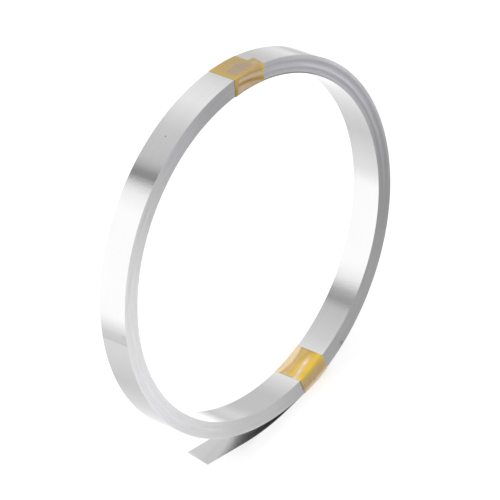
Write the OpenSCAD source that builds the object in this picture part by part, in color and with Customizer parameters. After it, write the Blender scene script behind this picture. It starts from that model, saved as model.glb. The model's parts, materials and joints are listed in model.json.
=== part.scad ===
// Roll of nickel strip: a flat coil of thin strip with its free end left loose at
// the bottom, held together by two short lengths of film tape that go right round
// the coil's section.
//
// The origin is the middle of the bore. The bore runs along Y, Z is up, and the
// roll stands on the lowest point of its rim, just where the free end leaves it.
// Angles round the roll are counted from that lowest point towards +X.

/* [Coil] */
// Outside diameter of the coil
coil_od = 120; // [80:1:200]
// Number of turns in the coil
turn_count = 27; // [8:1:60]
// Air between one turn and the next
turn_gap = 0.01; // [0.005:0.005:0.03]
// How far the turns' edges stand in and out at the two ends
edge_stagger = 0.12; // [0.04:0.01:0.3]

/* [Strip] */
// Width of the strip
strip_w = 10; // [5:0.5:20]
// Thickness of the strip
strip_t = 0.2; // [0.1:0.01:0.3]

/* [Free end] */
// Flat length where the free end leaves the coil
end_flat = 6.7; // [3:0.1:15]
// How much wider than the coil's the free end's bend springs open, in radius
end_spring = 14; // [5:0.5:60]
// Angle of the free end's bend
end_bend_angle = 16.5; // [8:0.5:25]
// Straight length up to the cut
end_straight = 16; // [4:0.5:20]

/* [Tape] */
// Width of the film tape
tape_w = 12; // [6:0.5:20]
// Thickness of the film
tape_t = 0.06; // [0.04:0.01:0.12]
// Air between the film and the strip
tape_gap = 0.01; // [0.005:0.005:0.03]
// Place of the middle of the upper tape, counted from the lowest point
upper_tape_angle = 166.5; // [120:0.5:240]
// Place of the middle of the lower tape, counted from the lowest point
lower_tape_angle = 6.6; // [6:0.1:40]
// How far the upper tape's outer layer lies round from its inner layer
overlap_turn = 1.8; // [0.5:0.1:3]

/* [Hidden] */
$fn = 128;

coil_r = coil_od / 2;
pitch = strip_t + turn_gap;
bore_r = coil_r - turn_count * pitch;
end_bend_r = coil_r + end_spring;
bend_steps = 12;

// How far the last turn is sunk into the turns under it, to make one solid
sink = pitch / 4;
last_turn_depth = pitch + sink * 2;
wound_r = coil_r - pitch - sink;

// Waves in the turns' edges from the bore to the outer turns, which lie flush: how
// many waves, and their share of the stagger
edge_waves = [[2.5, 0.6], [7, 0.4]];
flush_turns = 3;

// The film clears the turns that stand out furthest, and is bevelled over the rims
tape_reach = tape_gap + edge_stagger;
sleeve_angle = 60;

// How far turn i, counted from the bore, stands out towards -Y
function edge_shift(i) =
    i >= turn_count - flush_turns ? 0 :
    edge_stagger * sum_of([for (wave = edge_waves)
        wave[1] * sin(360 * wave[0] * i / (turn_count - flush_turns))]);

function sum_of(list, i = 0) = i < len(list) ? list[i] + sum_of(list, i + 1) : 0;

// Radius of the coil's outside at an angle from the lowest point. The strip winds
// outwards clockwise, seen from -Y, and gains one pitch in a turn on two half rings.
function outside_r(angle) =
    angle > 180
        ? coil_r - pitch * (0.75 + 0.25 * cos(angle))
        : coil_r - pitch * (0.25 - 0.25 * cos(angle));

// Lays a shape drawn in the XY plane on its edge, with its +Z towards -Y
module stood_up() rotate([90, 0, 0]) children();

// Lays a shape drawn round +X at an angle from the lowest point
module at_angle(angle) rotate([0, 0, angle - 90]) children();

// Section through every turn but the last, each turn a step at both ends
module wound_section() {
    inner_turns = turn_count - 1;
    function edge_r(i) = i < inner_turns ? bore_r + i * pitch : wound_r;
    polygon(concat(
        [for (i = [0 : inner_turns - 1], side = [0, 1])
            [edge_r(i + side), edge_shift(i) + strip_w / 2]],
        [for (i = [inner_turns - 1 : -1 : 0], side = [1, 0])
            [edge_r(i + side), edge_shift(i) - strip_w / 2]]
    ));
}

// One half of the last turn: a half ring that is off centre by a quarter of the
// pitch, up for the half that starts the turn (rise 1) and down for the other (-1)
module last_half_turn(from_angle, rise) {
    half_r = coil_r - pitch * (0.5 + rise * 0.25);
    translate([0, rise * pitch / 4, 0])
        rotate_extrude(angle = 180, start = from_angle)
            translate([half_r - last_turn_depth, -strip_w / 2])
                square([last_turn_depth, strip_w]);
}

// A point of the free end: this far along the flat, round the bend and up the
// straight, and this deep inside the outer side
function end_point(flat, bend, straight, depth) =
    [-flat, -coil_r]
    + end_bend_r * [-sin(bend), 1 - cos(bend)]
    + straight * [-cos(bend), sin(bend)]
    + depth * [sin(bend), cos(bend)];

// The free end: flat, then bent open, then straight up to the cut
module free_end() {
    stations = concat(
        [[0, 0, 0]],
        [for (i = [0 : bend_steps]) [end_flat, end_bend_angle * i / bend_steps, 0]],
        [[end_flat, end_bend_angle, end_straight]]
    );
    function side(depth) = [for (s = stations) end_point(s[0], s[1], s[2], depth)];
    function reversed(list) = [for (i = [len(list) - 1 : -1 : 0]) list[i]];
    translate([0, 0, -strip_w / 2])
        linear_extrude(strip_w)
            polygon(concat(side(0), reversed(side(strip_t))));
}

module nickel_strip() color([0.74, 0.73, 0.76]) stood_up() {
    rotate_extrude() wound_section();
    last_half_turn(90, 1);
    last_half_turn(-90, -1);
    free_end();
}

// Outline of the film round the section, this far out from the strip
module film_outline(outer_r, out) {
    near = bore_r - tape_gap - out;
    far = outer_r + tape_gap + out;
    half_w = strip_w / 2 + tape_reach + out;
    bevel = tape_reach;
    polygon([
        [near + bevel, -half_w], [far - bevel, -half_w],
        [far, bevel - half_w], [far, half_w - bevel],
        [far - bevel, half_w], [near + bevel, half_w],
        [near, half_w - bevel], [near, bevel - half_w]
    ]);
}

// Cuts a sleeve round the section down to a straight length of tape
module tape_cut() {
    intersection() {
        rotate_extrude(angle = sleeve_angle, start = -sleeve_angle / 2) children();
        translate([0, -tape_w / 2, -strip_w]) cube([coil_od, tape_w, strip_w * 2]);
    }
}

// One length of tape, once round the section
module tape_loop(angle) {
    outer_r = outside_r(angle);
    at_angle(angle) tape_cut() difference() {
        film_outline(outer_r, tape_t);
        film_outline(outer_r, 0);
    }
}

// The second layer, up the front end and over the rim to the middle of the width
module tape_overlap(angle) {
    outer_r = outside_r(angle);
    at_angle(angle) tape_cut() difference() {
        film_outline(outer_r, tape_t * 2);
        film_outline(outer_r, tape_t / 2);
        translate([0, -strip_w * 2]) square([coil_od, strip_w * 2]);
        translate([0, -strip_w]) square([bore_r + tape_reach, strip_w * 2]);
    }
}

module upper_tape() color([0.80, 0.58, 0.16]) stood_up() {
    tape_loop(upper_tape_angle);
    tape_overlap(upper_tape_angle - overlap_turn);
}

module lower_tape() color([0.80, 0.58, 0.16]) stood_up() tape_loop(lower_tape_angle);

nickel_strip();
upper_tape();
lower_tape();
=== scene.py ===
import json
import math

import bpy
import numpy as np
from mathutils import Matrix, Vector


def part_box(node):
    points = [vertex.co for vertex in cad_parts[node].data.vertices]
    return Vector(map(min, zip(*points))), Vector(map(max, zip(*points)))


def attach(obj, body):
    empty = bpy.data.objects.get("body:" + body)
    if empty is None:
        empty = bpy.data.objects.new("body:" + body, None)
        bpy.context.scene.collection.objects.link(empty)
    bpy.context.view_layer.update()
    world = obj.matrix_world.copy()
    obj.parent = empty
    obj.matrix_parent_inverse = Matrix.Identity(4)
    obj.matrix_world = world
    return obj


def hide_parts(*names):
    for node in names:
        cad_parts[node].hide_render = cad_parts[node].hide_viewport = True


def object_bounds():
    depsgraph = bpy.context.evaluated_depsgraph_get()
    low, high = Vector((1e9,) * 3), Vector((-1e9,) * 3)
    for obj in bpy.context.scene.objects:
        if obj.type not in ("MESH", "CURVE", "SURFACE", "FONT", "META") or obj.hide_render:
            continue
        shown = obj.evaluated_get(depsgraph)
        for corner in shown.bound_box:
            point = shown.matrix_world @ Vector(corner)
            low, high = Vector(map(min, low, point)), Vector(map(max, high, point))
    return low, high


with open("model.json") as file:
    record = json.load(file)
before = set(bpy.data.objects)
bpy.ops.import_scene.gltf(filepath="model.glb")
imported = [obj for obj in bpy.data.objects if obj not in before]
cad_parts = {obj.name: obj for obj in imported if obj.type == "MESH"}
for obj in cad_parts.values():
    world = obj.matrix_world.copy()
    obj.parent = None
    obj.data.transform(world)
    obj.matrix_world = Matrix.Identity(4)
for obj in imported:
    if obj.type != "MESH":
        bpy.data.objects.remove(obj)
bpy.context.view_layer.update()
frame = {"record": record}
bore = frame["record"]["mounts"][0]["dims"]

# The bore runs along Y with the origin in its middle, and the free end leaves the coil
# at its lowest point. Angles are counted from there towards +X.
coilRadius = -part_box("nickel_strip")[0][2]
boreRadius = bore["r_mm"] / 1000
stripWidth = bore["length_mm"] / 1000


# Unit X and Z of the direction at an angle: the sine and the negative cosine.
def direction(angle):
    return np.stack([np.sin(angle), -np.cos(angle)], -1)


# How far round an angle lies from a middle one, between half a turn back and forward.
def turnedFrom(angle, middle):
    return (angle - middle + np.pi) % (2 * np.pi) - np.pi


# Bell shape: e to the minus square of the distance from the middle over the width.
def bump(value, middle, width):
    return np.exp(-((value - middle) / width) ** 2)


# Smooth step from 0 at low to 1 at high: three squares less two cubes of the share.
def ease(value, low, high):
    part = np.clip((value - low) / (high - low), 0, 1)
    return part * part * (3 - 2 * part)


# Quads of a grid of points: each point, the one below it, and the two beside those.
def gridFaces(rows, columns, closedRows=False):
    downCount = rows if closedRows else rows - 1
    row, column = np.meshgrid(np.arange(downCount), np.arange(columns), indexing="ij")
    below = (row + 1) % rows
    beside = (column + 1) % columns
    quads = [row * columns + column, below * columns + column,
             below * columns + beside, row * columns + beside]
    return np.stack(quads, -1).reshape(-1, 4)


# Smooth mesh from whole arrays of quads; one whose last two corners are the same point
# becomes a triangle. For a grid of so many columns, the edges that run along the sharp
# ones are sharp.
def addMesh(name, vertices, faces, uv=None, slots=None, columns=0, sharpColumns=()):
    faces = np.asarray(faces, np.int32)
    kept = np.ones(faces.shape, bool)
    kept[:, 3] = faces[:, 2] != faces[:, 3]
    corners = faces[kept]
    starts = np.concatenate([[0], np.cumsum(kept.sum(1))[:-1]]).astype(np.int32)
    mesh = bpy.data.meshes.new(name)
    mesh.vertices.add(len(vertices))
    mesh.vertices.foreach_set("co", np.asarray(vertices, np.float32).ravel())
    mesh.loops.add(len(corners))
    mesh.loops.foreach_set("vertex_index", corners)
    mesh.polygons.add(len(faces))
    mesh.polygons.foreach_set("loop_start", starts)
    if slots is not None:
        mesh.polygons.foreach_set("material_index", np.asarray(slots, np.int32))
    mesh.update(calc_edges=True)
    if columns:
        ends = np.empty(2 * len(mesh.edges), np.int32)
        mesh.edges.foreach_get("vertices", ends)
        ends = ends.reshape(-1, 2) % columns
        sharp = mesh.attributes.new("sharp_edge", "BOOLEAN", "EDGE")
        sharp.data.foreach_set("value", (ends[:, 0] == ends[:, 1]) & np.isin(ends[:, 0], sharpColumns))
    if uv is not None:
        layer = mesh.uv_layers.new(name="laid")
        layer.uv.foreach_set("vector", np.asarray(uv, np.float32)[corners].ravel())
    piece = bpy.data.objects.new(name, mesh)
    bpy.context.collection.objects.link(piece)
    return piece


# Named values on a piece's points, which its material reads as masks.
def setMasks(piece, masks):
    for label, values in masks.items():
        layer = piece.data.attributes.new(label, "FLOAT", "POINT")
        layer.data.foreach_set("value", np.asarray(values, np.float32).ravel())


strip = {
    "thickness": 0.0002,
    "turns": 26.4625,           # the inner end lies under the upper tape
    "segmentsPerTurn": 300,
    "inset": 0.000003,          # keeps the facets inside the solid's reach
    "cutOuter": (0.00016, 0.000046),    # how far each corner is cut back, out and along
    "cutInner": (0.00002, 0.00002),
    # how steeply the ends of the turns step forward, from the bore (0) to the rim (1)
    "relief": [(0, 0), (0.10, -0.4), (0.30, 1), (0.44, -1), (0.57, 0.1), (0.70, 1),
               (0.92, -1.3), (1, -0.6)],
    "reliefSlope": math.radians(4.5),
    "reliefMiddle": math.radians(124),
    "reliefReach": math.radians(50),
    "reliefElsewhere": 0.13,
    "reliefSteps": 200,
    "reliefEnd": 0.25,          # in turns: dies out over this before the take-off
    "turnScatter": 0.000004,    # how far single turns stand proud or back
    "scatterStep": 0.5,         # in turns
    # where the innermost turns' end gets a line of painted shade, as in a gap between them and the rest
    "gapMiddle": math.radians(146),
    "gapReach": math.radians(21),
    "gapDepth": (0.03, 0.10),
    # where painted light and shade make the ends of the turns a little brighter or darker, and where oil
    # tints them: the middle and the reach in degrees, and the strength
    "paintedLightTones": [(-18, 14, 0.10), (182, 14, -0.14), (207, 12, -0.08), (56, 17, -0.095)],
    "tints": [(126, 40, 1.0), (288, 20, 0.46), (198, 16, 0.62)],
    "kinkTurn": 0.7264,         # line of painted shade from a faint kink in the outermost turn, in turns from the take-off
    "kinkLength": 0.005,
    "kinkRange": (-1, 2),       # the kink's mask, in its lengths before and past it
    "freeFlat": 0.0067,
    "freeBendSpring": 0.014,
    "freeBendAngle": math.radians(16.5),
    "freeStraight": 0.0168,
    "freeEase": 0.009,          # over which the bend gives way to the straight
    "freeCutSkew": 0.0021,
    "freeTwist": 0.00022,
    "freeStep": 0.00025,        # half the distance from one kept point to the next
    "freeWearShadeSkew": 0.7,        # how much farther along the front edge the wear and its painted light lie
    "freeWearShadePivot": 0.1,       # where across, from the front edge, the wear and its painted light aren't shifted
    "seed": 11,
}
strip["pitch"] = (coilRadius - strip["inset"] - boreRadius - strip["thickness"]) / strip["turns"]


# Radii of the wall's two sides at an angle: each turn lies one pitch further in, and
# both sides step by the share of a turn that is left over there.
def wallSides(angle):
    share = angle / (2 * math.pi)
    whole = math.floor(strip["turns"] - share)
    outer = coilRadius - strip["inset"] - strip["pitch"] * share
    return outer, boreRadius + strip["pitch"] * (strip["turns"] - whole - share)


# Middle line of the wound strip: the radius grows by one pitch a turn, from the inner
# end round to the take-off, where the count of turns reaches 0.
def spiralPath():
    count = round(strip["turns"] * strip["segmentsPerTurn"]) + 1
    turn = np.arange(count)[::-1] / strip["segmentsPerTurn"]
    outer = coilRadius - strip["inset"] - strip["thickness"] / 2
    outward = direction(turn * 2 * np.pi)
    return outward * (outer - strip["pitch"] * turn)[:, None], outward, turn


# Middle line of the free end: a flat, an arc that springs open to a wider radius
# than the coil's, and a straight. Its heading is that of the three, eased over a
# short length, and its points are the running sum of the heading's steps, of which
# every other one is kept. The last two arrays are how far along the whole and the
# straight a point is, from 0 to 1.
def freePath():
    bendRadius = coilRadius + strip["freeBendSpring"]
    bendEnd = strip["freeFlat"] + bendRadius * strip["freeBendAngle"]
    step = strip["freeStep"]
    run = np.arange(0, round((bendEnd + strip["freeStraight"]) / step) + 1) * step
    padding = round(strip["freeEase"] / step)
    wide = np.concatenate([run[0] - step * np.arange(padding, 0, -1), run,
                           run[-1] + step * np.arange(1, padding + 1)])
    heading = np.clip((wide - strip["freeFlat"]) / bendRadius, 0, strip["freeBendAngle"])
    kernel = np.hanning(padding + 2)[1:-1]
    heading = np.convolve(heading, kernel / kernel.sum(), "same")[padding:-padding]
    midway = (heading[1:] + heading[:-1]) / 2
    x = -np.concatenate([[0], np.cumsum(np.cos(midway))]) * step
    z = -coilRadius + np.concatenate([[0], np.cumsum(np.sin(midway))]) * step
    outward = direction(-heading)
    lift = strip["inset"] + strip["thickness"] / 2
    straight = np.clip((run - bendEnd) / strip["freeStraight"], 0, 1)
    place = np.stack([x, z], -1) - outward * lift
    return place[1::2], outward[1::2], (run / run[-1])[1::2], straight[1::2]


# Relief of the wall's end as its height to the front and its slope: the height is the
# running sum of the slope from the bore to the rim, brought back to 0 at the rim. It
# is strongest on one side of the coil, a flat-topped bell shape of the angle.
def endRelief(depth, angle):
    at, slope = np.array(strip["relief"], float).T
    fine = np.linspace(0, 1, strip["reliefSteps"] + 1)
    stepSize = (coilRadius - boreRadius) / strip["reliefSteps"]
    height = np.cumsum(np.interp(fine, at, slope)) * stepSize * math.tan(strip["reliefSlope"])
    height -= height[-1] * fine
    away = turnedFrom(angle, strip["reliefMiddle"]) / strip["reliefReach"]
    strength = np.maximum(np.exp(-away ** 4), strip["reliefElsewhere"])
    return np.interp(depth, fine, height) * strength, np.interp(depth, at, slope) * strength


# Sum of bell shapes of the angle, each a strength round its middle, in degrees.
def roundSpots(angle, spots):
    return sum(strength * bump(turnedFrom(angle, math.radians(middle)), 0, math.radians(reach))
               for middle, reach, strength in spots)


# Rectangle with its corners cut, two points a corner, as how far out and how far
# along Y each point is.
def stripSection():
    halfT, halfW = strip["thickness"] / 2, stripWidth / 2
    points = []
    for outSign, alongSign in [(1, 1), (-1, 1), (-1, -1), (1, -1)]:
        cutOut, cutAlong = strip["cutOuter"] if outSign > 0 else strip["cutInner"]
        pair = [(outSign * halfT, alongSign * (halfW - cutAlong)),
                (outSign * (halfT - cutOut), alongSign * halfW)]
        points += pair if outSign == alongSign else pair[::-1]
    return np.array(points).T


# The section carried along the spiral and the free end. The ends of the turns follow
# the relief at their own radius, so that all lie in one surface; a small random step
# from turn to turn is added. The free end's rows are pulled back in proportion to how
# far back they lie, which cuts it askew.
def makeStrip():
    wound, woundOut, turn = spiralPath()
    free, freeOut, share, straight = freePath()
    path = np.concatenate([wound, free])
    outward = np.concatenate([woundOut, freeOut])
    out, along = stripSection()
    place = path[:, None, :] + outward[:, None, :] * out[None, :, None]

    # each row's values, for the turns and then for the free end
    def column(first, second):
        return np.concatenate([first, second])[:, None]

    turns = column(turn, share * 0)
    straight = column(turn * 0, straight)
    calm = column(np.clip(turn / strip["reliefEnd"], 0, 1), share * 0)
    random = np.random.default_rng(strip["seed"])
    knots = np.arange(0, strip["turns"] + 2, strip["scatterStep"])
    scatter = np.interp(turn, knots, random.uniform(-1, 1, len(knots))) * strip["turnScatter"]
    angle = turns * 2 * np.pi
    depth = (np.linalg.norm(place, axis=-1) - boreRadius) / (coilRadius - boreRadius)
    height, slope = endRelief(depth, angle)
    shift = (height + column(scatter, share * 0)) * calm

    # the free end is cut off askew and twists a little
    back = 0.5 + along[None, :] / stripWidth
    heading = np.stack([outward[:, 1], -outward[:, 0]], -1)
    pull = -straight * back * strip["freeCutSkew"]
    drop = straight * (back - 0.5) * strip["freeTwist"]
    place = place + heading[:, None, :] * pull[..., None] + outward[:, None, :] * drop[..., None]
    vertices = np.stack([place[..., 0], along[None, :] - shift, place[..., 1]], -1)

    length = np.concatenate([[0], np.cumsum(np.linalg.norm(np.diff(path, axis=0), axis=1))])
    rows, columns = shift.shape
    uv = np.stack(np.broadcast_arrays(length[:, None], along[None, :]), -1)
    faces = gridFaces(rows, columns)
    broadSides = [3, 7]             # the points after which the section's two long sides run
    slots = np.tile(np.where(np.isin(np.arange(columns), broadSides), 0, 1), rows - 1)
    cap = np.array([(0, 1, 2, 3), (0, 3, 4, 7), (7, 4, 5, 6)])
    faces = np.concatenate([faces, cap, cap[:, ::-1] + (rows - 1) * columns])
    slots = np.concatenate([slots, np.ones(2 * len(cap))])
    piece = addMesh("strip", vertices.reshape(-1, 3), faces, uv.reshape(-1, 2), slots,
                    columns, np.arange(columns))

    # mask of the painted shade line along the innermost turns' end
    gap = bump(turnedFrom(angle, strip["gapMiddle"]), 0, strip["gapReach"])
    # the kink's mask, for its painted shade line
    fromKink = (strip["kinkTurn"] - turns) * 2 * np.pi * coilRadius / strip["kinkLength"]
    # skews the free end's mask, which carries its wear and its painted shade and highlight
    wearAndShading = 1 + strip["freeWearShadeSkew"] * (back - strip["freeWearShadePivot"])
    # band is the relief's slope; the slit edges' colour turns it into painted shade and painted highlight
    masks = {"band": 0.5 - 0.5 * slope * calm, "gap": gap * (1 - ease(depth, *strip["gapDepth"])) * calm,
             "tint": roundSpots(angle, strip["tints"]) * calm,
             # painted light and shade round the ring
             "paintedLightTone": 1 + roundSpots(angle, strip["paintedLightTones"]),
             "kinkShade": np.clip(fromKink, *strip["kinkRange"]), "wearAndPaintedLight": column(turn * 0, share) * wearAndShading}
    setMasks(piece, {name: np.broadcast_to(mask, shift.shape) for name, mask in masks.items()})
    return piece


print("strip")
stripPiece = makeStrip()


# A node with its settings.
def addNode(nodes, kind, **settings):
    node = nodes.new(kind)
    for name, value in settings.items():
        setattr(node, name, value)
    return node


# Mix node between two colours; each may be a colour or a socket, and the factor a
# number or a socket.
def mixColour(nodes, links, factor, first, second, blend="MIX"):
    mix = addNode(nodes, "ShaderNodeMix", data_type="RGBA", blend_type=blend)
    for name, value in (("Factor", factor), ("A", first), ("B", second)):
        if isinstance(value, tuple):
            mix.inputs[name].default_value = (*value, 1)
        elif isinstance(value, (int, float)):
            mix.inputs[name].default_value = value
        else:
            links.new(value, mix.inputs[name])
    return mix.outputs["Result"]


# Two values joined by a sum, a product or the like; each a number or a socket.
def addMath(nodes, links, operation, first, second):
    node = addNode(nodes, "ShaderNodeMath", operation=operation)
    for socket, value in zip(node.inputs, (first, second)):
        if isinstance(value, (int, float)):
            socket.default_value = value
        else:
            links.new(value, socket)
    return node.outputs[0]


# A value carried from one range to another, and held at its ends.
def addRange(nodes, links, value, fromRange, toRange, smooth=False):
    node = nodes.new("ShaderNodeMapRange")
    node.interpolation_type = "SMOOTHSTEP" if smooth else "LINEAR"
    for name, number in zip(("From Min", "From Max", "To Min", "To Max"), (*fromRange, *toRange)):
        node.inputs[name].default_value = number
    links.new(value, node.inputs["Value"])
    return node.outputs[0]


# Greys that run from stop to stop, each a place from 0 to 1 and a level.
def greyRamp(nodes, links, factor, stops):
    ramp = nodes.new("ShaderNodeValToRGB")
    while len(ramp.color_ramp.elements) < len(stops):
        ramp.color_ramp.elements.new(0.5)
    for element, (place, level) in zip(ramp.color_ramp.elements, stops):
        element.position = place
        element.color = (level, level, level, 1)
    links.new(factor, ramp.inputs["Fac"])
    return ramp.outputs["Color"]


# The normal of a fine relief, whose height of 1 stands for a distance.
def addRelief(nodes, links, height, distance):
    relief = nodes.new("ShaderNodeBump")
    relief.inputs["Strength"].default_value = 1
    relief.inputs["Distance"].default_value = distance
    links.new(height, relief.inputs["Height"])
    return relief.outputs[0]


# A mask laid on the piece's points.
def readMask(nodes, name):
    return addNode(nodes, "ShaderNodeAttribute", attribute_name=name).outputs["Fac"]


# A material with nodes, and its parts.
def newMaterial(name):
    material = bpy.data.materials.new(name)
    material.use_nodes = True
    tree = material.node_tree
    return material, tree.nodes, tree.links, tree.nodes["Principled BSDF"]


# A shader group with its inputs, each a name and a kind, and the one value it gives.
def newGroup(name, inputs):
    group = bpy.data.node_groups.new(name, "ShaderNodeTree")
    for label, kind in inputs:
        group.interface.new_socket(label, in_out="INPUT", socket_type="NodeSocket" + kind)
    group.interface.new_socket("Value", in_out="OUTPUT", socket_type="NodeSocketFloat")
    nodes = group.nodes
    return group, nodes, group.links, nodes.new("NodeGroupInput"), nodes.new("NodeGroupOutput")


noiseLook = {
    "detail": 1.5,
    "middle": (0.25, 0.75),     # part of the noise that is spread over the whole range
}


# Group: soft noise on a stretched vector, spread between Low and High.
def makeMottle():
    group, nodes, links, given, result = newGroup("mottle", [
        ("Vector", "Vector"), ("Stretch", "Vector"), ("Low", "Float"), ("High", "Float")])
    stretch = addNode(nodes, "ShaderNodeVectorMath", operation="MULTIPLY")
    links.new(given.outputs["Vector"], stretch.inputs[0])
    links.new(given.outputs["Stretch"], stretch.inputs[1])
    noise = nodes.new("ShaderNodeTexNoise")
    noise.inputs["Scale"].default_value = 1
    noise.inputs["Detail"].default_value = noiseLook["detail"]
    links.new(stretch.outputs[0], noise.inputs["Vector"])
    spread = addNode(nodes, "ShaderNodeMapRange", interpolation_type="SMOOTHSTEP")
    for label, edge in zip(("From Min", "From Max"), noiseLook["middle"]):
        spread.inputs[label].default_value = edge
    links.new(noise.outputs["Fac"], spread.inputs["Value"])
    links.new(given.outputs["Low"], spread.inputs["To Min"])
    links.new(given.outputs["High"], spread.inputs["To Max"])
    links.new(spread.outputs[0], result.inputs["Value"])
    return group


# Group: a spot round its centre, of full strength within its core and 0 from its rim on.
def makeSpeck():
    group, nodes, links, given, result = newGroup("speck", [
        ("Vector", "Vector"), ("Centre", "Vector"), ("Core", "Float"), ("Rim", "Float"),
        ("Strength", "Float")])
    far = addNode(nodes, "ShaderNodeVectorMath", operation="DISTANCE")
    links.new(given.outputs["Vector"], far.inputs[0])
    links.new(given.outputs["Centre"], far.inputs[1])
    fade = addNode(nodes, "ShaderNodeMapRange", interpolation_type="SMOOTHSTEP")
    fade.inputs["To Max"].default_value = 0
    for label, end in (("Core", "From Min"), ("Rim", "From Max"), ("Strength", "To Min")):
        links.new(given.outputs[label], fade.inputs[end])
    links.new(far.outputs["Value"], fade.inputs["Value"])
    links.new(fade.outputs[0], result.inputs["Value"])
    return group


mottle, speck = makeMottle(), makeSpeck()


# A group placed in a material on a vector, with its own values.
def addGroup(nodes, links, group, vector, **values):
    node = addNode(nodes, "ShaderNodeGroup", node_tree=group)
    links.new(vector, node.inputs["Vector"])
    for name, value in values.items():
        node.inputs[name].default_value = value
    return node.outputs["Value"]


# The mottle with its own stretch and range.
def addMottle(nodes, links, vector, stretch, low, high):
    return addGroup(nodes, links, mottle, vector, Stretch=stretch, Low=low, High=high)


# Small dark spots mixed into a colour, one after the other.
def addSpecks(nodes, links, colour, look):
    place = nodes.new("ShaderNodeTexCoord").outputs["Object"]
    for angle, radius, along, (core, rim), strength in look["specks"]:
        outward = direction(angle) * radius * coilRadius
        spot = addGroup(nodes, links, speck, place, Centre=(outward[0], along, outward[1]),
                        Core=core, Rim=rim, Strength=strength)
        colour = mixColour(nodes, links, spot, colour, look["speck"])
    return colour


nickel = {
    "bright": (0.775, 0.775, 0.775),
    "dull": (0.73, 0.73, 0.735),
    "metal": 0.96,
    "lines": (40, 1800, 0),         # rolling lines, long and fine across
    "lineDulling": 0.3,
    "clouds": (60, 60, 60),
    "cloudDulling": 0.5,
    "roughness": (0.07, 0.11),
    "wave": (160, 90, 0),           # shallow unevenness of the sheet
    "waveHeight": 0.000006,
    "grain": (1300, 1500, 0),       # fine unevenness left by the rolls
    "grainHeight": 0.0000036,
    # painted shade line at the kink, multiplied into the colour
    "kinkShade": [(0, 1), (0.09, 0.86), (0.3, 0.90), (0.9, 1)],
    # painted shade darkens the free end's middle and painted highlight its far part; handling roughens it
    "wearAndPaintedLight": [(0, 1), (0.40, 1.05), (0.50, 0.80), (0.56, 0.68), (0.61, 0.63), (0.70, 0.66),
             (0.745, 0.77), (0.79, 0.95), (0.84, 1.06), (0.89, 1.16), (1, 1.14)],
    "wornRoughness": 0.16,
    "wornStart": 0.3,               # share of the free end over which it roughens
    # a pit and a soft stain: angle, radius as a share, place along Y, core and rim, strength
    "specks": [(math.radians(198.5), 1.0, 0.0, (0.00012, 0.00034), 1.0),
               (math.radians(-101.5), 1.0, -0.0039, (0.0003, 0.0013), 0.10)],
    "speck": (0.20, 0.20, 0.21),
}


# Rolled nickel: the sum of fine lines and clouds dulls and roughens it, painted shade at the kink
# and painted shade and highlight on the worn free end multiply its colour, and a wave and the grain
# added to it ripple it.
def nickelMaterial():
    material, nodes, links, shader = newMaterial("rolledNickel")
    coordinate = nodes.new("ShaderNodeTexCoord")
    laid, place = coordinate.outputs["UV"], coordinate.outputs["Object"]
    lines = addMottle(nodes, links, laid, nickel["lines"], 0, nickel["lineDulling"])
    clouds = addMottle(nodes, links, place, nickel["clouds"], 0, nickel["cloudDulling"])
    dulled = addMath(nodes, links, "ADD", lines, clouds)
    metal = mixColour(nodes, links, dulled, nickel["bright"], nickel["dull"])
    wearAndPaintedLight = readMask(nodes, "wearAndPaintedLight")
    kinkShade = greyRamp(nodes, links, readMask(nodes, "kinkShade"), nickel["kinkShade"])
    # painted shade and highlight along the free end
    wearAndShading = greyRamp(nodes, links, wearAndPaintedLight, nickel["wearAndPaintedLight"])
    metal = mixColour(nodes, links, 1.0, metal, kinkShade, "MULTIPLY")
    metal = mixColour(nodes, links, 1.0, metal, wearAndShading, "MULTIPLY")
    links.new(addSpecks(nodes, links, metal, nickel), shader.inputs["Base Color"])

    rough = addRange(nodes, links, dulled, (0, 1), nickel["roughness"])
    rougher = addRange(nodes, links, wearAndPaintedLight, (0, nickel["wornStart"]), (0, nickel["wornRoughness"]),
                       smooth=True)
    links.new(addMath(nodes, links, "ADD", rough, rougher), shader.inputs["Roughness"])
    shader.inputs["Metallic"].default_value = nickel["metal"]

    wave = addMottle(nodes, links, laid, nickel["wave"], 0, 1)
    grainShare = nickel["grainHeight"] / nickel["waveHeight"]
    grain = addMottle(nodes, links, laid, nickel["grain"], 0, grainShare)
    height = addMath(nodes, links, "ADD", wave, grain)
    links.new(addRelief(nodes, links, height, nickel["waveHeight"]), shader.inputs["Normal"])
    return material


slitEdge = {
    "paintedHollowShade": (0.56, 0.558, 0.561),     # painted shade between the relief's ridges
    # painted highlight on the relief's ridges
    "ridge": (0.872, 0.869, 0.873),
    "dull": (0.53, 0.529, 0.531),
    "tint": (1.046, 1.036, 1.102),      # where a film of oil lies on the edges
    # painted shade: a dark line along a part of the bore
    "gap": (0.10, 0.10, 0.105),
    "gapShadeStrength": 0.75,
    "turns": (4500, 0, 6),              # fine rings, one turn to the next
    "turnDulling": 0.5,
    "turnHeight": 0.0000015,
    "burrs": (2800, 2800, 2800),        # fine grain that the slitting leaves
    "burrTones": (0.92, 1.08),
    # a scuff: angle, radius as a share, place along Y, core and rim, strength
    "specks": [(math.radians(20.4), 0.981, -0.005, (0.0003, 0.0009), 0.5)],
    "speck": (0.22, 0.22, 0.23),
    "roughness": (0.29, 0.35),
}
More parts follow.
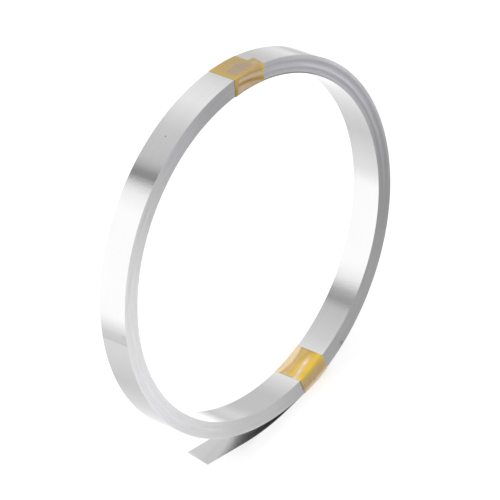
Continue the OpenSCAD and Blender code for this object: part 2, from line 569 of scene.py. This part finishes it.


# Slit edges: the relief's bands mix a dark grey of painted shade and a bright grey of painted
# highlight, fine rings round the bore dull, roughen and ripple them, oil tints them, painted light
# and shade round the ring and the burrs' grain multiply them, and a dark line of painted shade runs
# along a part of the bore.
def slitEdgeMaterial():
    material, nodes, links, shader = newMaterial("slitEdge")
    place = nodes.new("ShaderNodeTexCoord").outputs["Object"]
    split = nodes.new("ShaderNodeSeparateXYZ")
    links.new(place, split.inputs[0])
    flat = nodes.new("ShaderNodeCombineXYZ")
    links.new(split.outputs["X"], flat.inputs["X"])
    links.new(split.outputs["Z"], flat.inputs["Y"])
    radius = addNode(nodes, "ShaderNodeVectorMath", operation="LENGTH")
    links.new(flat.outputs[0], radius.inputs[0])
    around = addMath(nodes, links, "ARCTAN2", split.outputs["X"], split.outputs["Z"])
    polar = nodes.new("ShaderNodeCombineXYZ")
    links.new(radius.outputs["Value"], polar.inputs["X"])
    links.new(around, polar.inputs["Z"])
    turns = addMottle(nodes, links, polar.outputs[0], slitEdge["turns"], 0, slitEdge["turnDulling"])
    colour = mixColour(nodes, links, readMask(nodes, "band"), slitEdge["paintedHollowShade"], slitEdge["ridge"])
    colour = mixColour(nodes, links, turns, colour, slitEdge["dull"])
    colour = mixColour(nodes, links, readMask(nodes, "tint"), colour, slitEdge["tint"], "MULTIPLY")
    burrs = addMottle(nodes, links, place, slitEdge["burrs"], *slitEdge["burrTones"])
    # painted light and shade round the ring, times the burrs' grain
    paintedLightTone = addMath(nodes, links, "MULTIPLY", readMask(nodes, "paintedLightTone"), burrs)
    colour = mixColour(nodes, links, 1.0, colour, paintedLightTone, "MULTIPLY")
    colour = addSpecks(nodes, links, colour, slitEdge)
    # dark line of painted shade along a part of the bore
    gap = addMath(nodes, links, "MULTIPLY", readMask(nodes, "gap"), slitEdge["gapShadeStrength"])
    links.new(mixColour(nodes, links, gap, colour, slitEdge["gap"]), shader.inputs["Base Color"])
    links.new(addRange(nodes, links, turns, (0, 1), slitEdge["roughness"]), shader.inputs["Roughness"])
    shader.inputs["Metallic"].default_value = 1
    links.new(addRelief(nodes, links, turns, slitEdge["turnHeight"]), shader.inputs["Normal"])
    return material


stripPiece.data.materials.append(nickelMaterial())
stripPiece.data.materials.append(slitEdgeMaterial())
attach(stripPiece, "root")
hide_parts("nickel_strip")


film = {
    "place": 0.012,             # width of the tape's place on the coil
    "width": 0.0115,
    "thickness": 0.00004,
    "gap": 0.000008,            # air between the film and the strip
    "corner": 0.00006,          # radius over the rims
    "front": 0.005058,          # how far the film lies from the middle at the ends
    "across": 97,               # points across its top and its underside
    "under": 13,
    "faceSteps": 84,            # points round the loop: a broad side, an end and a rim
    "endSteps": 60,
    "cornerSteps": 6,
    "curlHeight": 0.000015,     # how far the cut edges stand up
    "curlWidth": 0.04,          # in halves of the film's width
}


# Closed line round the wall as radius and Y, a rounded rectangle: from the middle of
# the outer side over the front end, the bore side and the back end. Each point has
# its normal and how far along the loop it is.
def filmLoop(angle):
    corner = film["corner"]
    outer, inner = wallSides(angle)
    outer += film["gap"] - corner
    inner += corner - film["gap"]
    half = film["front"] - corner
    sides = [(outer, 0, outer, -half, 0, 0.5), (outer, -half, inner, -half, 90, 1),
             (inner, -half, inner, half, 180, 1), (inner, half, outer, half, 270, 1),
             (outer, half, outer, 0, 360, 0.5)]
    radius, along, turned = [], [], []
    for fromR, fromY, toR, toY, degrees, share in sides:
        steps = film["endSteps"] if degrees in (90, 270) else round(film["faceSteps"] * share)
        part = np.linspace(0, 1, steps, endpoint=False)
        bend = np.linspace(0, 90, film["cornerSteps"], endpoint=False)
        if degrees == 360:
            bend = bend[:0]
        radius += [fromR + (toR - fromR) * part, np.full(len(bend), toR)]
        along += [fromY + (toY - fromY) * part, np.full(len(bend), toY)]
        turned += [np.full(steps, float(degrees)), degrees + bend]
    turned = np.radians(np.concatenate(turned))
    normal = np.stack([np.cos(turned), -np.sin(turned)], -1)
    line = np.stack([np.concatenate(radius), np.concatenate(along)], -1) + normal * corner
    step = np.linalg.norm(np.diff(line, axis=0, append=line[:1]), axis=1)
    return line, normal, np.concatenate([[0], np.cumsum(step)[:-1]])


# Where the points of a film lie: which side they are on, how deep in the wall from the
# bore (0) to the rim (1), how far forward from the back (0) to the front (1), how far
# across the tape's place from its left (0) to its right (1), and how far right on the
# film itself. The places are those, and the same counted the other way.
class Lay:
    def __init__(self, angle, rows, shift):
        self.angle = angle
        self.line, self.normal, length = (part[rows] for part in filmLoop(angle))
        self.outer = np.clip(self.normal[:, :1], 0, 1)
        self.inner = np.clip(-self.normal[:, :1], 0, 1)
        self.front = np.clip(-self.normal[:, 1:], 0, 1)
        self.depth = (self.line[:, :1] - boreRadius) / (coilRadius - boreRadius)
        self.forward = 0.5 - self.line[:, 1:] / stripWidth
        top = np.linspace(-1, 1, film["across"])
        under = np.linspace(1, -1, film["under"])
        self.part = np.concatenate([top, under])[None, :]
        self.isTop = np.concatenate([top * 0 + 1, under * 0])[None, :]
        self.beside = self.part * film["width"] / 2 + shift
        self.across = 0.5 - self.beside / film["place"]
        self.right = (1 - self.part) / 2
        self.length = length[:, None]
        self.places = {"across": self.across, "leftward": 1 - self.across, "right": self.right,
                       "forward": self.forward, "backward": 1 - self.forward,
                       "depth": self.depth, "nearBore": 1 - self.depth, "edge": np.abs(self.part)}


# A film as a thin closed skin whose top runs across and whose underside runs back.
# Each point is raised along the loop's normal and lies on the circle of its own
# radius round the coil's axis.
def filmSkin(lay, layer, thick, height, masks):
    lift = height + layer + lay.isTop * thick
    raised = lay.line[:, None, :] + lay.normal[:, None, :] * lift[..., None]
    out = np.sqrt(raised[..., 0] ** 2 - lay.beside ** 2)
    outward, sideways = direction(lay.angle), direction(lay.angle + np.pi / 2)
    points = np.stack([outward[0] * out + sideways[0] * lay.beside, raised[..., 1],
                       outward[1] * out + sideways[1] * lay.beside], -1)
    uv = np.stack(np.broadcast_arrays(lay.length, lay.beside), -1)
    return points, uv, {name: np.broadcast_to(np.clip(mask, 0, 1), lift.shape)
                        for name, mask in masks.items()}


# One mesh from several skins; an open one gets its two ends closed.
def joinFilms(name, skins):
    vertices, uvs, faces, masks, count = [], [], [], {}, 0
    for points, uv, mask, closed in skins:
        rows, columns = points.shape[:2]
        quads = gridFaces(rows, columns, closedRows=closed)[:, ::-1]     # facing outwards
        if not closed:
            top = film["across"]
            left = np.arange(top - 1)
            spread = (film["under"] - 1) / (top - 1)
            right = columns - 1 - np.round(left * spread).astype(int)
            nextRight = columns - 1 - np.round((left + 1) * spread).astype(int)
            cap = np.stack([left, left + 1, nextRight, right], -1)
            quads = np.concatenate([quads, cap[:, [1, 0, 3, 2]], cap + (rows - 1) * columns])
        vertices.append(points.reshape(-1, 3))
        uvs.append(uv.reshape(-1, 2))
        faces.append(quads + count)
        for label, values in mask.items():
            masks.setdefault(label, []).append(values.ravel())
        count += rows * columns
    piece = addMesh(name, np.concatenate(vertices), np.concatenate(faces), np.concatenate(uvs), None,
                    columns, (0, film["across"] - 1, film["across"], columns - 1))
    setMasks(piece, {label: np.concatenate(values) for label, values in masks.items()})
    return piece


# Straight line: low where a value is 0 and high where it is 1.
def between(value, low, high):
    return low + (high - low) * value


# Sum of terms, each a strength times shapes of named places. A shape is a bell with its
# middle and width, a smooth step with its two ends, or a straight line between two levels.
def sumTerms(terms, places):
    total = 0
    for strength, *shapes in terms:
        for name, shape, first, second in shapes:
            strength = strength * shape(places[name], first, second)
        total = total + strength
    return total


# Fine streaks from 0 to 1: a sine of the place across, bent by a slower sine and slanted
# by the depth.
def fineStreaks(across, depth, waves):
    fine, bend, slow, slant = waves
    return 0.5 + 0.5 * np.sin(across * fine + bend * np.sin(across * slow) + slant * depth)


# How far a film's cut edge stands up: a bell shape of the place from its middle (0) to
# the edge (1).
def edgeCurl(place):
    return film["curlHeight"] * bump(place, 1, film["curlWidth"])


upperTape = {
    "angle": math.radians(166.5),
    "shift": 0.0006,
    "overlapShift": (-0.00035, -0.00090, -0.0020),     # at the bore, the rim and its end
    "overlapEnd": 0.0102,           # how far the second layer reaches round the loop
    "overlapTaper": (0, 0.05),      # where on its left it comes to its full thickness
    "overlapThinnest": 0.15,
    # dull area on the outer side, across the film and from the back to the front
    "patch": [(0.13, 0.52), (0.36, 0.42), (0.66, 0.46), (0.80, 0.60), (0.80, 0.80),
              (0.50, 0.88), (0.12, 0.86)],
    "patchEdge": 0.11,
    # masks of the outer side, with a small blush in its right front corner
    "outer": {
        "air": [(0.95, ("patch", between, 0, 1)),
                (0.7, ("across", bump, 0.93, 0.07), ("forward", bump, 0.77, 0.08)),
                (0.15, ("across", ease, 0.3, 0.6))],
        "pale": [(0.13, ("patch", between, 0, 1), ("across", between, 1, 0)),
                 (0.4, ("across", bump, 0.93, 0.07), ("forward", bump, 0.77, 0.08))],
        "glow": [(0.24, ("across", bump, -0.03, 0.14)),
                 (0.3, ("forward", bump, 1, 0.07), ("across", bump, 0.1, 0.2)),
                 (0.3, ("forward", bump, 1, 0.12), ("across", bump, 1.1, 0.12))],
    },
    # masks of the first layer's front end, with a border on its left that lies bare
    "base": {
        "air": [(1, ("nearBore", ease, 0.38, 0.65), ("across", ease, 0.10, 0.16)),
                (0.2, ("leftward", ease, 0.84, 0.90))],
        "pale": [(0.12, ("depth", ease, 0.45, 0.65)),
                 (0.5, ("nearBore", ease, 0.38, 0.65), ("across", ease, 0.10, 0.16))],
        "glow": [(0.15,), (0.3, ("depth", ease, 0.4, 0.6))],
        "foldShade": [(0.12, ("nearBore", ease, 0.38, 0.65)),
                 (0.18, ("nearBore", ease, 0.38, 0.65), ("leftward", ease, 0.84, 0.90))],
    },
    # curves of the second layer's creases: their depth on the left, how far they drop
    # to the right, and the power of that drop
    "curves": {"low": (0.56, 0.38, 1.6), "pale": (0.74, 0.25, 1.4), "high": (0.90, 0.15, 1)},
    "creaseStart": (-0.02, 0.04),   # where on the left the creases begin
    "streaks": (43, 3, 17, -4),
    # heights of the ridges
    "ridges": [(0.00008, ("belowLow", bump, -0.09, 0.07)), (0.000048, ("belowHigh", bump, 0, 0.04)),
               (0.000032, ("belowLow", bump, 0.20, 0.06))],
    # masks of the second layer's front end
    "over": {
        "air": [(1, ("belowPale", bump, 0, 0.10)),
                (1, ("belowLow", ease, 0.07, 0.14), ("streaks", between, 0.75, 1.10))],
        "pale": [(0.75, ("belowPale", bump, 0, 0.115)), (0.52, ("belowLow", ease, 0.07, 0.14)),
                 (0.2, ("belowLow", ease, 0.07, 0.14), ("streaks", between, 0, 1),
                  ("right", between, 1, 0)),
                 (0.3, ("aboveHigh", ease, 0, 0.08))],
        # painted shade in the creases
        "foldShade": [(0.75, ("belowLow", bump, 0, 0.08)),
                 (0.25, ("belowLow", bump, 0, 0.08), ("right", bump, 0.42, 0.2)),
                 (0.105, ("belowHigh", bump, 0, 0.035)),
                 (0.245, ("belowHigh", bump, 0, 0.035), ("right", ease, 0.05, 0.4)),
                 (0.5, ("belowLow", bump, 0.24, 0.06), ("right", ease, 0.45, 0.75))],
    },
    # its glow, a painted highlight, which reaches past the creases' start
    "overGlow": [(0.6, ("right", bump, 1, 0.06), ("depth", ease, 0, 0.9)),
                 (0.3, ("depth", bump, 1, 0.07)),
                 (0.6, ("right", bump, 1, 0.15), ("depth", ease, 0.5, 0.85)),
                 (0.4, ("right", bump, 1, 0.07)),
                 (0.5, ("right", bump, 0.17, 0.05), ("belowLow", ease, 0.07, 0.14))],
}


# Masks on the outer side of the upper tape. The film hasn't wetted out over a patch:
# the product of the eased distances to its sides.
def upperOuter(lay):
    corners = np.array(upperTape["patch"])
    edge = upperTape["patchEdge"]
    patch = 1.0
    for (startX, startY), (endX, endY) in zip(corners, np.roll(corners, -1, axis=0)):
        long = math.hypot(endX - startX, endY - startY)
        far = (endX - startX) * (lay.forward - startY) - (endY - startY) * (lay.across - startX)
        patch = patch * ease(far / long, -edge, edge)
    places = {**lay.places, "patch": patch}
    return {name: lay.outer * sumTerms(terms, places) for name, terms in upperTape["outer"].items()}


# The first layer, a closed loop: flat but for its edges.
def upperBase():
    lay = Lay(upperTape["angle"], slice(None), upperTape["shift"])
    height = edgeCurl(np.abs(lay.part)) + 0 * lay.depth
    masks = upperOuter(lay)
    for name, terms in upperTape["base"].items():
        masks[name] = masks.get(name, 0) + lay.front * sumTerms(terms, lay.places)
    return *filmSkin(lay, 0, film["thickness"], height, masks), True


# Second layer from the bore's front rim over the front end to the middle of the
# outer side. Creases fan out over the end from one pinched place on its left: each
# lies along a curve, its depth on the left less a power of how far right the place is.
def upperOver():
    length = filmLoop(upperTape["angle"])[2]
    rows = np.arange(len(length))[length < upperTape["overlapEnd"]]
    atBore, atRim, atEnd = upperTape["overlapShift"]
    rimAt = stripWidth / 2
    boreAt = rimAt + coilRadius - boreRadius
    shift = np.interp(length[rows], [0, rimAt, boreAt], [atEnd, atRim, atBore])
    lay = Lay(upperTape["angle"], rows, shift[:, None])
    low, pale, high = (start - drop * lay.right ** power
                       for start, drop, power in upperTape["curves"].values())
    places = {**lay.places, "belowLow": low - lay.depth, "belowPale": pale - lay.depth,
              "belowHigh": high - lay.depth, "aboveHigh": lay.depth - high,
              "streaks": fineStreaks(lay.right, lay.depth, upperTape["streaks"])}
    creased = lay.front * ease(lay.right, *upperTape["creaseStart"])
    height = creased * sumTerms(upperTape["ridges"], places) + edgeCurl(-lay.part)
    masks = upperOuter(lay)
    for name, terms in upperTape["over"].items():
        masks[name] = masks.get(name, 0) + creased * sumTerms(terms, places)
    masks["glow"] = masks["glow"] + lay.front * sumTerms(upperTape["overGlow"], places)
    taper = ease(lay.right, *upperTape["overlapTaper"])
    thick = film["thickness"] * between(taper, upperTape["overlapThinnest"], 1)
    layer = (film["thickness"] + film["gap"]) * (1 + 0 * lay.part)
    return *filmSkin(lay, layer, thick, height, masks), False


lowerTape = {
    "angle": math.radians(6.6),
    "shift": -0.00028,
    "heldPower": 6,             # how sharply the relief is held down at the film's edges
    "arch": (0.15, 0.10, 2.5),  # the pocket's front: at the edges, its rise, and its power
    # heights of the bridge over the bore's front rim and of the pocket at its back rim
    "relief": [(0.00022, ("forward", bump, 0.83, 0.13)), (0.00025, ("underArch", bump, 0.08, 0.07))],
    # lines on the bore side: how far forward on the left, their rise, and its power
    "lines": {"streak": (0.60, 0.185, 1.2), "ridge": (0.885, 0.05, 1), "band": (0.52, 0.08, 2)},
    "waver": 19,                # waves across in the streak and in the ridge, as radians
    "ripple": 13,
    "streaks": (61, 4, 23, 3),
    # masks of the bore side
    "inner": {
        "air": [(0.6, ("edge", bump, 1, 0.06), ("backward", ease, 0.2, 0.4))],
        "pale": [(0.8, ("underArch", ease, -0.025, 0.03)),
                 (0.2, ("underArch", ease, -0.025, 0.03), ("forward", ease, 0.02, 0.2)),
                 (0.95, ("fromStreak", bump, 0, 0.088), ("across", ease, 0.12, 0.38),
                  ("waver", between, 0.85, 1)),
                 (0.20, ("forward", bump, 0.34, 0.12)), (0.2, ("across", bump, 1, 0.1))],
        # glow: painted highlight along the ridge and the band
        "glow": [(1, ("fromRidge", bump, 0, 0.11), ("ripple", between, 0.85, 1)),
                 (0.55, ("fromBand", bump, 0, 0.09), ("across", ease, 0.12, 0.4)),
                 (0.45, ("forward", bump, 0.66, 0.11), ("across", bump, 0.2, 0.14))],
        "foldShade": [(0.1, ("underArch", bump, -0.09, 0.06)), (0.2, ("right", bump, 0, 0.05)),
                 (0.25, ("forward", bump, 0.50, 0.09), ("across", bump, 0.3, 0.3))],
        "shine": [(1,)],
    },
    # masks of the front end, where the rim is pale with a painted highlight and the painted
    # glow leaves the rest clear
    "rim": [(1, ("depth", ease, 0.72, 0.90), ("streaks", between, 0.80, 1))],
    "endGlow": [(0.80, ("nearBore", ease, 0.78, 0.98)),
                (0.42, ("nearBore", ease, 0.45, 0.80), ("across", between, 1, 0.6)),
                (0.4, ("across", bump, 0.03, 0.12))],
    "glowMost": 0.9,            # how much of the clear film the glow can take
    "end": {
        "air": [(1, ("streaks", between, 0.15, 0.40), ("clear", between, 0, 1))],
        "pale": [(1, ("rim", between, 0, 1)),
                 (0.10, ("streaks", between, 1, 2), ("clear", between, 0, 1))],
        "glow": [(1, ("glow", between, 0, 1))],
        "foldShade": [(0.12, ("streaks", between, 1, 0), ("rim", between, 1, 0))],
    },
}


# Film that bridges the bore side beside its front rim, with an arched pocket of air
# at the back rim; both die out at the film's two edges. The arch and the lines are
# powers of the place across.
def lowerLoop():
    lay = Lay(lowerTape["angle"], slice(None), lowerTape["shift"])
    start, rise, power = lowerTape["arch"]
    arch = start + rise * (1 - np.abs(lay.part) ** power)
    lines = {name: first + change * lay.across ** bend
             for name, (first, change, bend) in lowerTape["lines"].items()}
    places = {**lay.places, "underArch": arch - lay.forward, "fromStreak": lay.forward - lines["streak"],
              "fromRidge": lay.forward - lines["ridge"], "fromBand": lay.forward - lines["band"],
              "waver": np.sin(lay.across * lowerTape["waver"]),
              "ripple": np.cos(lay.across * lowerTape["ripple"]),
              "streaks": fineStreaks(lay.across, lay.depth, lowerTape["streaks"])}
    places["rim"] = sumTerms(lowerTape["rim"], places)
    places["glow"] = sumTerms(lowerTape["endGlow"], places)
    places["clear"] = 1 - np.clip(places["glow"], 0, lowerTape["glowMost"])
    held = lay.inner * (1 - lay.part ** lowerTape["heldPower"])
    height = held * sumTerms(lowerTape["relief"], places) + edgeCurl(np.abs(lay.part))
    masks = {name: lay.inner * sumTerms(terms, places) for name, terms in lowerTape["inner"].items()}
    for name, terms in lowerTape["end"].items():
        masks[name] = masks[name] + lay.front * sumTerms(terms, places)
    return *filmSkin(lay, 0, film["thickness"], height, masks), True


print("tapes")
upperPiece = joinFilms("upperFilm", [upperBase(), upperOver()])
lowerPiece = joinFilms("lowerFilm", [lowerLoop()])

amber = {
    "base": (0.66, 0.43, 0.115),
    "warm": (0.74, 0.40, 0.125),
    "olive": (0.59, 0.45, 0.09),
    "glow": (0.97, 0.655, 0.04),    # painted highlight, a bright yellow glow
    "air": (0.47, 0.345, 0.225),    # film with air under it
    # pale film over air, and painted highlight on the lower tape's rim and bore side
    "pale": (0.98, 0.78, 0.51),
    "foldShade": (0.50, 0.265, 0.06),    # painted shade in the creases
    "metal": (0.15, 0.75),          # rising where the film lies close on bright metal
    "roughness": (0.25, 0.4),
    "coat": 0.5,
    "coatRoughness": 0.08,
    "spots": (700, 700, 700),
    "spotHeight": 0.000003,         # the film isn't quite flat
    "shades": (300, 300, 300),
    "shadeDepth": 0.9,
}


# Amber film: spots and shades mix its own colours, then each mask laid on its points mixes in the
# next: a painted highlight as a glow, air under the film, pale film with painted highlights, and
# painted shade in the creases.
def filmMaterial():
    material, nodes, links, shader = newMaterial("amberFilm")
    place = nodes.new("ShaderNodeTexCoord").outputs["Object"]
    spots = addMottle(nodes, links, place, amber["spots"], 0, 1)
    shades = addMottle(nodes, links, place, amber["shades"], 0, amber["shadeDepth"])
    colour = mixColour(nodes, links, spots, amber["base"], amber["warm"])
    colour = mixColour(nodes, links, shades, colour, amber["olive"])
    for name in ("glow", "air", "pale", "foldShade"):
        colour = mixColour(nodes, links, readMask(nodes, name), colour, amber[name])
    links.new(colour, shader.inputs["Base Color"])
    links.new(addRange(nodes, links, readMask(nodes, "shine"), (0, 1), amber["metal"]),
              shader.inputs["Metallic"])
    links.new(addMottle(nodes, links, place, amber["shades"], *amber["roughness"]),
              shader.inputs["Roughness"])
    links.new(addRelief(nodes, links, spots, amber["spotHeight"]), shader.inputs["Normal"])
    shader.inputs["Coat Weight"].default_value = amber["coat"]
    shader.inputs["Coat Roughness"].default_value = amber["coatRoughness"]
    return material


amberFilm = filmMaterial()
for piece, node in ((upperPiece, "upper_tape"), (lowerPiece, "lower_tape")):
    piece.data.materials.append(amberFilm)
    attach(piece, "root")
    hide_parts(node)

studio = {
    "floorSize": 3.0,
    "floorColours": [(0.8, 0.8, 0.8), (0.78, 0.78, 0.78)],
    "floorFibres": (900, 900, 900),
    "floorGlow": 0.5,           # lifts the paper to white without lighting the part
    # the camera's view, as if the part weren't turned; the camera is then turned with it
    "seenTurn": math.radians(19.0),
    "azimuth": math.radians(-48.49),
    "elevation": math.radians(25.62),
    "distance": 23.0,           # in coil radii, as is the offset
    "offset": (-0.0053, 0.0312),
    "focal": 9.2218,            # in widths of the sensor
    "sensor": 36,
    "clipEnd": 20,
    "tentRadius": 0.45,
    "tentHalf": 1.2,
    "tentSides": 96,
    "frontStart": (0.12, 0.0),  # where along Y the back panels give way to the front ones
    "farStart": (0.331, 0.336),     # and where the far back panels begin
    # light of the tent's panels, in degrees from straight up towards +X. The outer side
    # mirrors the near ones, the bore side the far ones and the slit edges the front ones.
    "nearPanels": [(-180, 0.9), (-150, 0.75), (-125, 0.9), (-115, 0.85),    # grey, low on the left
                   (-105, 1.3), (-45, 1.3), (-35, 1.15),        # white sheet
                   (-31, 0.92), (-25.5, 0.3), (-23, 0.3), (-18, 0.57), (-14, 0.67),    # dark flag
                   (5, 0.75), (26, 1.05), (40, 0.97), (50, 0.82), (80, 0.72), (101, 0.97),    # grey cloth
                   (110, 0.65), (117, 0.8),                     # narrow flag
                   (128, 1.38), (160, 1.0)],                    # white, low on the right
    "farPanels": [(-180, 0.95), (-150, 0.77), (-120, 1.0),      # grey, low on the left
                  (-108, 1.3), (-50, 1.28), (-40, 1.08),        # white sheet
                  (-31, 0.5), (-25, 0.38), (-19, 0.66),         # dark flag
                  (3, 0.79), (27, 1.09), (41, 1.0), (61, 0.69), (86, 0.69), (98, 0.86),    # grey cloth
                  (110, 0.73),                                  # narrow flag
                  (127, 1.38), (136, 1.29), (143, 1.0), (150, 1.14)],    # white, low on the right
    "frontPanels": [(-180, 1.2), (-165, 1.25), (-150, 0.8), (-135, 0.55), (-120, 0.6),    # white below
                    (-75, 0.9), (-45, 0.8), (-10, 0.6), (40, 0.75), (60, 0.7),    # grey cloth
                    (90, 0.2), (105, 0.9), (120, 0.5), (135, 0.2),                # two flags
                    (165, 1.3)],                                                  # white below
}


# Square sheet of paper under the part. A glow is added for camera, glossy and
# transmission rays. The sheet is hidden from glossy ones, so that the metal mirrors the
# tent below it.
def addFloor():
    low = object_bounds()[0][2]
    half = studio["floorSize"] / 2
    corners = [(-half, -half, low), (half, -half, low), (half, half, low), (-half, half, low)]
    floor = addMesh("floor", corners, [(0, 1, 2, 3)])
    material, nodes, links, shader = newMaterial("floorPaper")
    place = nodes.new("ShaderNodeTexCoord").outputs["Object"]
    fibres = addMottle(nodes, links, place, studio["floorFibres"], 0, 1)
    links.new(mixColour(nodes, links, fibres, *studio["floorColours"]), shader.inputs["Base Color"])
    shader.inputs["Roughness"].default_value = 1
    shader.inputs["Specular IOR Level"].default_value = 0
    shader.inputs["Emission Color"].default_value = (1, 1, 1, 1)
    path = nodes.new("ShaderNodeLightPath")
    seen = path.outputs["Is Camera Ray"]
    for name in ("Is Glossy Ray", "Is Transmission Ray"):
        seen = addMath(nodes, links, "ADD", seen, path.outputs[name])
    links.new(addMath(nodes, links, "MULTIPLY", seen, studio["floorGlow"]),
              shader.inputs["Emission Strength"])
    floor.data.materials.append(material)
    floor.visible_glossy = False


# Stops of a ramp from a row of panels: the degrees from straight up become the share of
# a turn from straight down, and the last stop closes the round.
def panelStops(panels):
    return [(degrees / 360 + 0.5, level) for degrees, level in panels + [(180, panels[0][1])]]


# Round tent of lit cloth along Y, open at both ends and hidden from the camera: circles
# of one radius at its two ends.
def addTent():
    angle = np.arange(studio["tentSides"]) * 2 * np.pi / studio["tentSides"]
    ends = np.array([-1, 1]) * studio["tentHalf"]
    spoke = direction(angle) * studio["tentRadius"]
    vertices = np.stack(np.broadcast_arrays(spoke[:, 0], ends[:, None], spoke[:, 1]), -1)
    tent = addMesh("tent", vertices.reshape(-1, 3), gridFaces(2, len(angle)))
    material, nodes, links, shader = newMaterial("tentCloth")
    nodes.remove(shader)
    split = nodes.new("ShaderNodeSeparateXYZ")
    links.new(nodes.new("ShaderNodeTexCoord").outputs["Object"], split.inputs[0])
    around = addMath(nodes, links, "ARCTAN2", split.outputs["X"], split.outputs["Z"])
    spread = addRange(nodes, links, around, (-math.pi, math.pi), (0, 1))
    front = addRange(nodes, links, split.outputs["Y"], studio["frontStart"], (0, 1), smooth=True)
    far = addRange(nodes, links, split.outputs["Y"], studio["farStart"], (0, 1), smooth=True)
    panels = {name: greyRamp(nodes, links, spread, panelStops(studio[name + "Panels"]))
              for name in ("near", "far", "front")}
    back = mixColour(nodes, links, far, panels["near"], panels["far"])
    light = mixColour(nodes, links, front, back, panels["front"])
    glow = nodes.new("ShaderNodeEmission")
    links.new(light, glow.inputs["Color"])
    links.new(glow.outputs[0], nodes["Material Output"].inputs["Surface"])
    tent.data.materials.append(material)
    tent.visible_camera = False


# Camera on a ray from the part at an azimuth and elevation, moved aside by the offset
# and turned about Y with the part.
def addCamera():
    azimuth, elevation = studio["azimuth"], studio["elevation"]
    back = Vector((math.sin(azimuth) * math.cos(elevation),
                   -math.cos(azimuth) * math.cos(elevation), math.sin(elevation)))
    right = Vector((math.cos(azimuth), math.sin(azimuth), 0))
    up = back.cross(right)
    x, y = studio["offset"]
    place = (back * studio["distance"] - right * x - up * y) * coilRadius
    facing = Matrix((right, up, back)).transposed()
    turned = Matrix.Rotation(studio["seenTurn"], 3, "Y")
    data = bpy.data.cameras.new("camera")
    data.sensor_width = studio["sensor"]
    data.lens = studio["focal"] * studio["sensor"]
    data.clip_end = studio["clipEnd"]
    camera = bpy.data.objects.new("camera", data)
    bpy.context.collection.objects.link(camera)
    camera.matrix_world = Matrix.Translation(turned @ place) @ (turned @ facing).to_4x4()
    bpy.context.scene.camera = camera


# Plain white all round, at a strength of 1.
def addWorld():
    world = bpy.data.worlds.new("studio")
    world.use_nodes = True
    bpy.context.scene.world = world
    world.node_tree.nodes["Background"].inputs["Color"].default_value = (1, 1, 1, 1)


print("studio")
addFloor()
addCamera()
addTent()
addWorld()

bpy.context.scene.view_settings.view_transform = "Standard"
